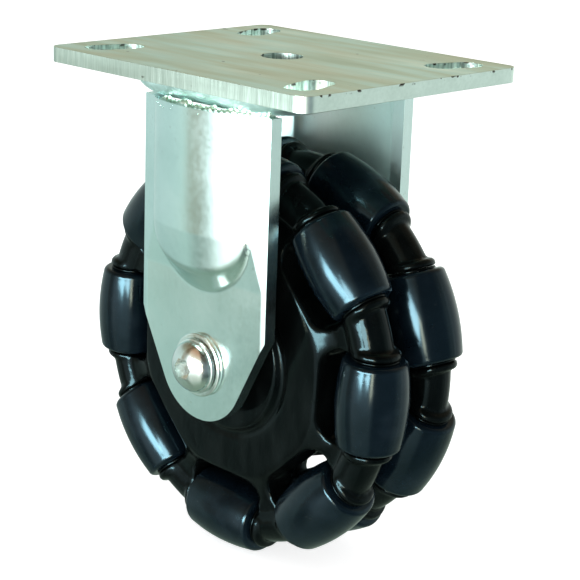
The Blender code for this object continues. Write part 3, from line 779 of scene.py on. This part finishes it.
def make_leg(end, side):
    """One pressed fork leg. Side is -1 at the bolt's head and 1 at the nut."""
    flat = leg_flat(end, side)
    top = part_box(f"fork_leg_{end}")[1].z - AXLE.z
    columns = 104
    rows_above = 140
    straight = [top + (LEG_BEND - top) * i / rows_above for i in range(rows_above + 1)]
    taper = [LEG_BEND - 1.0 * MM * i for i in range(1, 13)]
    curve = [-LEG_END_RADIUS * math.sin(math.radians(angle)) for angle in range(2, 87, 3)]
    heights = straight + taper + curve
    bm = bmesh.new()
    sheets = []
    for depth in (0.0, LEG_THICKNESS):
        rows = []
        for height in heights:
            half = leg_half_width(height)
            row = []
            for i in range(columns + 1):
                x = half * (2 * i / columns - 1)
                out = flat - depth + leg_surface(x, height)
                row.append(bm.verts.new((x, side * out, AXLE.z + height)))
            rows.append(row)
        sheets.append(rows)
        for upper, lower in zip(rows, rows[1:]):
            for i in range(columns):
                bm.faces.new((upper[i], upper[i + 1], lower[i + 1], lower[i]))
    rims = []
    for rows in sheets:
        right = [row[-1] for row in rows[1:-1]]
        left = [row[0] for row in rows[-2:0:-1]]
        rims.append(rows[0] + right + rows[-1][::-1] + left)
    bridge(bm, *rims)
    leg = solid(f"leg_pressing_{end}", bm)
    hole = bmesh.new()
    lathe(hole, rod(AXLE_RADIUS + SLIP, -60 * MM, 60 * MM), AT_AXLE, 48, False)
    boolean(leg, hole)
    soften(leg, LEG_EDGE, angle=50.0)
    finish_piece(leg, "zinc_pressing", "fork", f"fork_leg_{end}")


def make_weld(end, side):
    """A rippled fillet of weld between the top of a leg and the crown's side, with spatter beside it."""
    low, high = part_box(f"weld_bead_{end}")
    leg_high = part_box(f"fork_leg_{end}")[1]
    flat = leg_flat(end, side)
    seat = leg_high.z - WELD_SINK
    half_x, half_y = crown_half_sizes(math.radians(25.0))
    rng = random.Random(21 if side < 0 else 22)
    steps = 200
    points = 26
    bm = bmesh.new()
    rings = []
    for i in range(steps + 1):
        x = low.x + (leg_high.x - 0.2 * MM - low.x) * i / steps
        into_corner = max(abs(x) - half_x + CROWN_CORNER, 0.0)
        inner = half_y - CROWN_CORNER + math.sqrt(CROWN_CORNER**2 - into_corner**2) - WELD_BITE
        outer = flat + leg_surface(x, leg_high.z - AXLE.z) - 0.05 * MM
        full = min(max((x - WELD_START) / WELD_RUN_IN, 0.05), 1.0) * min(1.0, (0.4 + steps - i) / 5)
        ripple = 0.86 + 0.10 * math.cos(2 * math.pi * x / WELD_PITCH)
        ripple += 0.40 * noise.noise(Vector((x * 330, side, 0.5)))
        loop = [bm.verts.new((x, side * inner, seat))]
        for j in range(points + 1):
            behind = (outer - inner) * (1 - j / points)
            lump = 1.0 + 0.22 * noise.noise(Vector((x * 560, side * 7, behind * 400)))
            off_ridge = (2 * behind / WELD_WIDTH - 1) / (0.9 + 0.2 * ripple)
            ridge = WELD_RISE * full * ripple * lump * math.sqrt(max(1 - off_ridge**2, 0.0))
            filler = WELD_FILLER * min(behind / MM, 1.0)
            loop.append(bm.verts.new((x, side * (outer - behind), seat + max(ridge, filler))))
        loop.append(bm.verts.new((x, side * outer, seat - 0.1 * MM)))
        rings.append(loop)
    loft(bm, rings)
    bm.faces.new(rings[0])
    bm.faces.new(rings[-1])
    for _ in range(SPATTER_COUNT):
        radius = rng.uniform(0.15, 0.32) * MM
        x = rng.uniform(WELD_START, high.x)
        y = flat + leg_surface(x, leg_high.z - AXLE.z)
        place = Matrix.Translation((x, side * (y - 0.3 * radius), seat - rng.uniform(0.3, 1.6) * MM))
        bmesh.ops.create_uvsphere(bm, u_segments=12, v_segments=8, radius=radius, matrix=place)
    weld = solid(f"weld_run_{end}", bm)
    finish_piece(weld, "weld_metal", "fork", f"weld_bead_{end}")


# ---------------- axle and bearings


def turned_piece(name, node, section, slot, body):
    """A piece turned about the axle that stands for one CAD node."""
    bm = bmesh.new()
    lathe(bm, section, AT_AXLE, 80)
    finish_piece(solid(name, bm), slot, body, node)


def make_ring(name, edge, slot):
    """A plain ring round the axle, of its CAD node's own size and with rounded edges."""
    low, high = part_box(f"axle_{name}")
    section = rounded(ring(AXLE_RADIUS + SLIP, high.x, low.y, high.y), edge)
    turned_piece(name, f"axle_{name}", section, slot, "fork")


def make_bolt():
    """The dome-headed axle bolt, with a socket in its head and a thread at its other end."""
    low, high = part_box("axle_bolt")
    head_radius = high.x
    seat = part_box("axle_washer_front")[0].y - GAP
    shank = AXLE_RADIUS - SLIP
    rim = seat - HEAD_RIM
    dome = []
    for i in range(1, 25):
        swing = math.radians(90.0 * i / 24)
        dome.append(((head_radius - 0.6 * MM) * math.sin(swing), rim - (rim - low.y) * math.cos(swing)))
    flange = [(head_radius - 0.15 * MM, rim + 0.1 * MM), (head_radius, rim + 0.4 * MM)]
    flange += [(head_radius, seat - 0.2 * MM), (head_radius - 0.2 * MM, seat)]
    flange += [(shank + 0.4 * MM, seat), (shank, seat + 0.4 * MM)]
    thread_start = high.y - THREAD_LENGTH
    profile = [(0.0, low.y)] + dome + flange + [(shank, thread_start)]
    turns = int((high.y - 1.2 * MM - thread_start) / THREAD_PITCH)
    for i in range(turns):
        along = thread_start + THREAD_PITCH * (i + 0.5)
        profile += [(shank - THREAD_DEPTH, along), (shank - THREAD_DEPTH, along + 0.15 * MM)]
        profile += [(shank, along + 0.7 * MM), (shank, along + 0.85 * MM)]
    profile += [(shank - 1.0 * MM, high.y), (0.0, high.y)]
    bm = bmesh.new()
    lathe(bm, profile, AT_AXLE, 80, False)
    bolt = solid("axle_bolt_domed", bm)
    socket = bmesh.new()
    upright = AT_AXLE @ Matrix.Rotation(math.pi / 2, 4, "X")
    prism(socket, polygon(SOCKET_RADIUS, 6), -low.y - SOCKET_DEPTH, -low.y + MM, upright)
    boolean(bolt, socket)
    soften(bolt, 0.15 * MM, angle=38.0, segments=2)
    finish_piece(bolt, "bright_steel", "fork", "axle_bolt")


def make_nut():
    """The locking nut: a chamfered hexagon, a turned collar and the plastic ring that grips the thread."""
    low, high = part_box("axle_nut")
    flat = (high.z - low.z) / 2
    hexagon_end = low.y + HEXAGON_LENGTH
    upright = AT_AXLE @ Matrix.Rotation(-math.pi / 2, 4, "X")
    bm = bmesh.new()
    prism(bm, polygon(high.x, 6), low.y, hexagon_end, upright)
    nut = solid("axle_nut_locking", bm)
    envelope = bmesh.new()
    chamfer = [(0.0, low.y - MM), (flat - 0.2 * MM, low.y - MM), (flat + 1.4 * MM, low.y + 0.9 * MM)]
    chamfer += [(flat + 1.4 * MM, hexagon_end - 0.9 * MM), (flat - 0.2 * MM, hexagon_end + 0.05 * MM)]
    lathe(envelope, chamfer + [(0.0, hexagon_end + 0.05 * MM)], AT_AXLE, 80, False)
    boolean(nut, envelope, "INTERSECT")
    collar = bmesh.new()
    recess = high.y - COLLAR_RECESS
    wall = [(0.0, low.y + MM), (COLLAR_RADIUS, low.y + MM), (COLLAR_RADIUS, high.y)]
    wall += [(COLLAR_HOLE, high.y), (COLLAR_HOLE, recess), (0.0, recess)]
    lathe(collar, rounded(wall, 0.9 * MM, 5, False), AT_AXLE, 80, False)
    boolean(nut, collar, "UNION")
    bore = bmesh.new()
    radius = AXLE_RADIUS + SLIP
    lathe(bore, rod(radius, low.y - MM, high.y + MM), AT_AXLE, 64, False)
    boolean(nut, bore)
    soften(nut, 0.2 * MM, angle=45.0, segments=2)
    finish_piece(nut, "bright_steel", "fork", "axle_nut")
    insert = bmesh.new()
    section = ring(radius, COLLAR_HOLE - 0.1 * MM, recess + 0.15 * MM, high.y - 0.5 * MM)
    lathe(insert, rounded(section, 0.2 * MM), AT_AXLE, 64)
    finish_piece(solid("nut_locking_ring", insert), "black_plastic", "fork")


def bearing_race(node, face, back):
    """The section of a bearing ring, with the groove that its balls run in. Face is its grooved side."""
    low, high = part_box(node)
    middle = (low.y + high.y) / 2
    groove = BALL_RADIUS + 0.05 * MM
    spread = math.degrees(math.acos(abs(BALL_PITCH_RADIUS - face) / groove))
    points = rounded(ring(face, back, high.y, low.y), 0.35 * MM)
    centre = (BALL_PITCH_RADIUS, middle)
    if face > BALL_PITCH_RADIUS:
        return points + arc(centre, groove, -spread, spread, 10)
    return points + arc(centre, groove, 180 + spread, 180 - spread, 10)


def make_bearing(end):
    """One ball bearing: inner and outer rings, and its balls in their cage."""
    inner, outer = f"bearing_inner_{end}", f"bearing_outer_{end}"
    section = bearing_race(inner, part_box(inner)[1].x, AXLE_RADIUS + SLIP)
    turned_piece(f"bearing_cone_{end}", inner, section, "bright_steel", "fork")
    section = bearing_race(outer, BALL_PITCH_RADIUS + 1.6 * MM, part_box(outer)[1].x)
    turned_piece(f"bearing_cup_{end}", outer, section, "bright_steel", "wheel")
    low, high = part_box(outer)
    middle = (low.y + high.y) / 2
    cage = ring(
        BALL_PITCH_RADIUS - CAGE_HALF_DEPTH,
        BALL_PITCH_RADIUS + CAGE_HALF_DEPTH,
        middle - CAGE_HALF_WIDTH,
        middle + CAGE_HALF_WIDTH,
    )
    bm = bmesh.new()
    lathe(bm, rounded(cage, 0.2 * MM), AT_AXLE)
    for i in range(BALL_COUNT):
        angle = 2 * math.pi * i / BALL_COUNT
        away = Vector((BALL_PITCH_RADIUS * math.cos(angle), middle, BALL_PITCH_RADIUS * math.sin(angle)))
        place = Matrix.Translation(AXLE + away)
        bmesh.ops.create_uvsphere(bm, u_segments=24, v_segments=16, radius=BALL_RADIUS, matrix=place)
    finish_piece(solid(f"bearing_ball_set_{end}", bm), "bright_steel", "wheel", f"bearing_balls_{end}")


# ---------------- wheel


def roller_place(end, i):
    """The placing of a roller: its own Y runs along its pin and its own Z points away from the axle."""
    joint = JOINTS[f"{end}_roller_{i}"]
    middle = Vector(joint["pos_m"])
    along = Vector(joint["axis"]).normalized()
    outward = Vector((middle.x - AXLE.x, 0.0, middle.z - AXLE.z)).normalized()
    axes = Matrix((along.cross(outward), along, outward)).transposed().to_4x4()
    return Matrix.Translation(middle) @ axes


def roller_profile():
    """A barrel that follows the wheel's rim, with rounded ends and a hollow round its pin."""
    half = ROLLER_LENGTH / 2
    centre_radius = WHEEL_RADIUS - ROLLER_RADIUS
    reach = half - ROLLER_EDGE
    side = []
    for i in range(25):
        along = reach * (2 * i / 24 - 1)
        side.append((math.sqrt(WHEEL_RADIUS**2 - along**2) - centre_radius, along))
    rim = side[0][0]
    corner = arc((rim - ROLLER_EDGE, -reach), ROLLER_EDGE, -90, 0, 7)[:-1]
    floor = -half + ROLLER_HOLLOW
    hollow = rounded([(ROLLER_BORE, floor), (5.4 * MM, floor), (6.2 * MM, -half)], 0.4 * MM, 3, False)
    first = [tuple(point) for point in hollow] + corner
    second = [(radius, -along) for radius, along in reversed(first)]
    return first + side + second


def make_rollers(end):
    """The rollers of one row, their pins, and the thrust washers beside each roller."""
    skin_profile = roller_profile()
    pin_profile = rounded(rod(PIN_RADIUS, -PIN_LENGTH / 2, PIN_LENGTH / 2), 0.35 * MM, 4, False)
    washers = bmesh.new()
    for i in range(1, ROLLERS_PER_ROW + 1):
        place = roller_place(end, i)
        skin = bmesh.new()
        lathe(skin, skin_profile, place)
        skin = solid(f"roller_skin_{end}_{i}", skin)
        finish_piece(skin, "roller_polyurethane", f"{end}_roller_{i}", f"roller_{end}_{i}")
        pin = bmesh.new()
        lathe(pin, pin_profile, place, 28, False)
        finish_piece(solid(f"pin_{end}_{i}", pin), "plain_steel", "wheel", f"roller_pin_{end}_{i}")
        for side in (1, -1):
            start, stop = side * (ROLLER_LENGTH / 2 + 0.1 * MM), side * (POCKET_HALF_LENGTH - 0.1 * MM)
            section = ring(ROLLER_BORE, THRUST_WASHER_RADIUS, start, stop)
            lathe(washers, rounded(section, 0.2 * MM, 3), place, 40)
    finish_piece(solid(f"thrust_washers_{end}", washers), "black_plastic", "wheel")


def hub_section():
    """The closed section of the front wheel row, as (radius, distance outwards from the row's middle)."""
    low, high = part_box("hub_front")
    offset = abs(JOINTS["front_roller_1"]["pos_m"][1])
    inner = min(abs(low.y), abs(high.y)) - offset
    boss = max(abs(low.y), abs(high.y)) - offset
    bearing_low, bearing_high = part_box("bearing_outer_front")
    seat_radius = bearing_high.x + SLIP
    seat = min(abs(bearing_low.y), abs(bearing_high.y)) - GAP - offset
    back = [(HUB_BORE, inner), (30.0 * MM, inner), (33.0 * MM, -8.0 * MM), (40.0 * MM, -5.8 * MM)]
    back += [(ARM_FOOT, -ARM_HALF_THICKNESS)]
    reach = 180.0 - math.degrees(math.asin(ARM_HALF_THICKNESS / NECK_RADIUS))
    neck = arc((NECK_CENTRE_RADIUS, 0.0), NECK_RADIUS, -reach, reach, 30)
    face = [(ARM_FOOT, ARM_HALF_THICKNESS), (40.5 * MM, 5.8 * MM), (37.2 * MM, HUB_FACE)]
    face += [(25.0 * MM, HUB_FACE), (24.2 * MM, HUB_GROOVE), (22.8 * MM, HUB_GROOVE), (21.8 * MM, boss)]
    face += [(seat_radius, boss), (seat_radius, seat), (HUB_BORE, seat)]
    return rounded(back, 0.8 * MM, 3, False) + neck + rounded(face, 0.5 * MM, 3, False)


def pocket_outline():
    """One roller pocket, open outwards, as (distance from the axle, place along the roller)."""
    half = POCKET_HALF_LENGTH
    past = WHEEL_RADIUS + 8 * MM
    outline = [(past, half)]
    outline += arc((POCKET_FLOOR + POCKET_CORNER, half - POCKET_CORNER), POCKET_CORNER, 90, 180, 10)
    outline += arc((POCKET_FLOOR + POCKET_CORNER, POCKET_CORNER - half), POCKET_CORNER, 180, 270, 10)
    outline += [(past, -half)]
    return outline


def front_hub_mesh():
    """The front wheel row: boss, web, arms, necks and flanges, melted together with soft fillets."""
    middle = JOINTS["front_roller_1"]["pos_m"][1]
    bm = bmesh.new()
    lathe(bm, [(radius, middle - out) for radius, out in hub_section()], AT_AXLE, 144)
    hub = solid("hub_blank", bm)
    pockets = bmesh.new()
    sockets = bmesh.new()
    flanges = bmesh.new()
    for i in range(1, ROLLERS_PER_ROW + 1):
        roller = roller_place("front", i)
        centre = math.hypot(roller.translation.x - AXLE.x, roller.translation.z - AXLE.z)
        flat_to_radial = Matrix(((0, 0, 1, 0), (0, 1, 0, 0), (1, 0, 0, -centre), (0, 0, 0, 1)))
        prism(pockets, pocket_outline(), -30 * MM, 30 * MM, roller @ flat_to_radial)
        half = PIN_LENGTH / 2 + GAP
        lathe(sockets, rod(ROLLER_BORE, -half, half), roller, 28, False)
        for side in (1, -1):
            start = POCKET_HALF_LENGTH
            foot = start + FLANGE_REACH
            section = [(ROLLER_BORE, start), (FLANGE_RADIUS, start)]
            section += [(FLANGE_RADIUS, start + FLANGE_THICKNESS), (NECK_RADIUS, foot), (ROLLER_BORE, foot)]
            section = [(radius, side * along) for radius, along in section]
            lathe(flanges, rounded(section, 0.4 * MM, 3), roller, 48)
    boolean(hub, pockets)
    boolean(hub, sockets)
    joined = bmesh.new()
    joined.from_mesh(hub.data)
    extra = solid("flanges", flanges)
    joined.from_mesh(extra.data)
    joined.to_mesh(hub.data)
    joined.free()
    bpy.data.objects.remove(extra)
    remesh = hub.modifiers.new("melt", "REMESH")
    remesh.mode = "VOXEL"
    remesh.voxel_size = HUB_VOXEL
    remesh.use_smooth_shade = True
    apply_modifiers(hub)
    arms = hub.vertex_groups.new(name="arms")
    for vertex in hub.data.vertices:
        radius = math.hypot(vertex.co.x - AXLE.x, vertex.co.z - AXLE.z)
        weight = min(max(min(radius - ARM_START, ARM_END - radius) / ARM_FADE, 0.0), 1.0)
        arms.add([vertex.index], weight, "REPLACE")
    for name, group, iterations in (("all", "", HUB_SMOOTHING), ("fillets", "arms", ARM_SMOOTHING)):
        smooth = hub.modifiers.new(name, "SMOOTH")
        smooth.vertex_group = group
        smooth.factor = 0.5
        smooth.iterations = iterations
    apply_modifiers(hub)
    mesh = hub.data
    bpy.data.objects.remove(hub)
    return mesh


def make_hubs():
    """Both wheel rows. The rear one is the front one turned over and on by half a roller pitch."""
    front = front_hub_mesh()
    rear = front.copy()
    turn_over = Matrix.Rotation(math.pi, 4, "X")
    first = roller_place("front", 1).translation - AXLE
    other = roller_place("rear", 1).translation - AXLE
    front_angle = math.atan2(first.z, first.x)
    rear_angle = math.atan2(other.z, other.x)
    turn_on = Matrix.Rotation(-(rear_angle + front_angle), 4, "Y")
    rear.transform(AT_AXLE @ turn_on @ turn_over @ Matrix.Translation(-AXLE))
    for end, mesh in (("front", front), ("rear", rear)):
        hub = linked(f"hub_moulding_{end}", mesh)
        finish_piece(hub, "black_plastic", "wheel", f"hub_{end}")


# ---------------- stage, light and camera


def make_floor():
    """White paper that glows, and that the object doesn't mirror."""
    bm = bmesh.new()
    bmesh.ops.create_circle(bm, cap_ends=True, segments=96, radius=FLOOR_RADIUS)
    floor = solid("studio_floor", bm)
    material, tree, shader = shader_material("studio_paper", specular=0.1)
    mottle = grain(tree, 3.0)
    colour = ramp(tree, mottle, (0.3, (0.90, 0.90, 0.90)), (0.7, (0.93, 0.93, 0.93)))
    connect(tree, shader, colour, span(tree, mottle, 0.8, 0.9), bumps(tree, (mottle, 0.1 * MM)))
    shader.inputs["Emission Color"].default_value = (*WHITE, 1.0)
    shader.inputs["Emission Strength"].default_value = FLOOR_GLOW
    floor.data.materials.append(material)
    floor.visible_glossy = False


def compass(stops):
    """Colour stops moved from degrees of azimuth to a ramp's own 0 to 1."""
    return [((degrees + 180.0) / 360.0, colour) for degrees, colour in stops]


def glow(tree, colour, strength):
    """A background light."""
    return add(tree, "ShaderNodeBackground", {"Color": colour, "Strength": strength}).outputs[0]


def make_world():
    """What the object mirrors: a cool left, a brown board, a wide bright front and a dim right."""
    world = bpy.data.worlds.new("studio")
    bpy.context.scene.world = world
    world.use_nodes = True
    tree = world.node_tree
    tree.nodes.clear()
    direction = axes_of(tree, "Generated")
    azimuth = math_node(tree, "ARCTAN2", direction["X"], product(tree, direction["Y"], -1.0))
    around = span(tree, azimuth, 0.0, 1.0, -math.pi, math.pi)
    room = ramp(tree, around, *compass(WALL))
    above_edge = span(tree, direction["Z"], 0.0, 1.0, *BOARD_LOWER_EDGE)
    board = product(tree, ramp(tree, around, *compass(BOARD)), above_edge)
    room = blend(tree, board, room, BOARD_COLOUR)
    room = blend(tree, span(tree, direction["Z"], 1.0, 0.0, *NADIR_BAND), room, NADIR_COLOUR)
    shade = ramp(tree, span(tree, direction["Z"], 0.0, 1.0, -1.0, 1.0), *SHADE)
    mirrored = glow(tree, blend(tree, 1.0, room, shade, "MULTIPLY"), 1.0)
    seen = glow(tree, (*WHITE, 1.0), 1.0)
    fill = glow(tree, (*WHITE, 1.0), FILL_GLOW)
    rays = add(tree, "ShaderNodeLightPath").outputs
    surface = add(tree, "ShaderNodeMixShader", {0: rays["Is Camera Ray"], 1: fill, 2: seen}).outputs[0]
    surface = add(tree, "ShaderNodeMixShader", {0: rays["Is Glossy Ray"], 1: surface, 2: mirrored}).outputs[0]
    add(tree, "ShaderNodeOutputWorld", {"Surface": surface})


def direction_to(azimuth, elevation):
    """The direction at an azimuth counted from -Y towards +X, and an elevation. Both are in degrees."""
    turn, lift = math.radians(azimuth), math.radians(elevation)
    return Vector((math.sin(turn) * math.cos(lift), -math.cos(turn) * math.cos(lift), math.sin(lift)))


def make_lights():
    """Two slanting soft boxes in front and a warm one at their right, which show in the object's gloss."""
    for name, azimuth, elevation, width, height, strength, colour, roll in LIGHT_BOXES:
        light = bpy.data.lights.new(name, "AREA")
        light.shape = "RECTANGLE"
        light.size = width
        light.size_y = height
        light.energy = strength * math.pi * width * height
        light.color = colour
        box = linked(name, light)
        away = direction_to(azimuth, elevation)
        turn = away.to_track_quat("Z", "Y").to_matrix().to_4x4() @ Matrix.Rotation(math.radians(roll), 4, "Z")
        box.matrix_world = Matrix.Translation(CAMERA_TARGET + away * BOX_DISTANCE) @ turn
        box.visible_camera = False
        box.visible_diffuse = False


def make_camera():
    """A camera at the photograph's viewing angle."""
    camera = bpy.data.cameras.new("camera")
    camera.lens = CAMERA_LENS
    camera.sensor_width = 36.0
    camera.clip_start = 0.01
    obj = linked("camera", camera)
    back = direction_to(CAMERA_AZIMUTH, CAMERA_ELEVATION)
    right = direction_to(CAMERA_AZIMUTH + 90.0, 0.0)
    up = back.cross(right)
    roll = math.radians(CAMERA_ROLL)
    cosine, sine = math.cos(roll), math.sin(roll)
    axes = Matrix((right * cosine + up * sine, up * cosine - right * sine, back)).transposed().to_4x4()
    place = CAMERA_TARGET + back * CAMERA_DISTANCE + right * CAMERA_ASIDE + up * CAMERA_UP
    obj.matrix_world = Matrix.Translation(place) @ axes
    bpy.context.scene.camera = obj


def main():
    """Builds every piece and the stage."""
    make_top_plate()
    make_crown()
    make_bolt()
    make_nut()
    make_ring("sleeve", 0.3 * MM, "plain_steel")
    for end, side in (("front", -1), ("rear", 1)):
        make_leg(end, side)
        make_weld(end, side)
        make_ring(f"washer_{end}", 0.45 * MM, "bright_steel")
        make_ring(f"spacer_{end}", 0.5 * MM, "plain_steel")
        make_bearing(end)
        make_rollers(end)
    make_hubs()
    make_floor()
    make_world()
    make_lights()
    make_camera()
    bpy.context.scene.view_settings.view_transform = "Standard"


main()
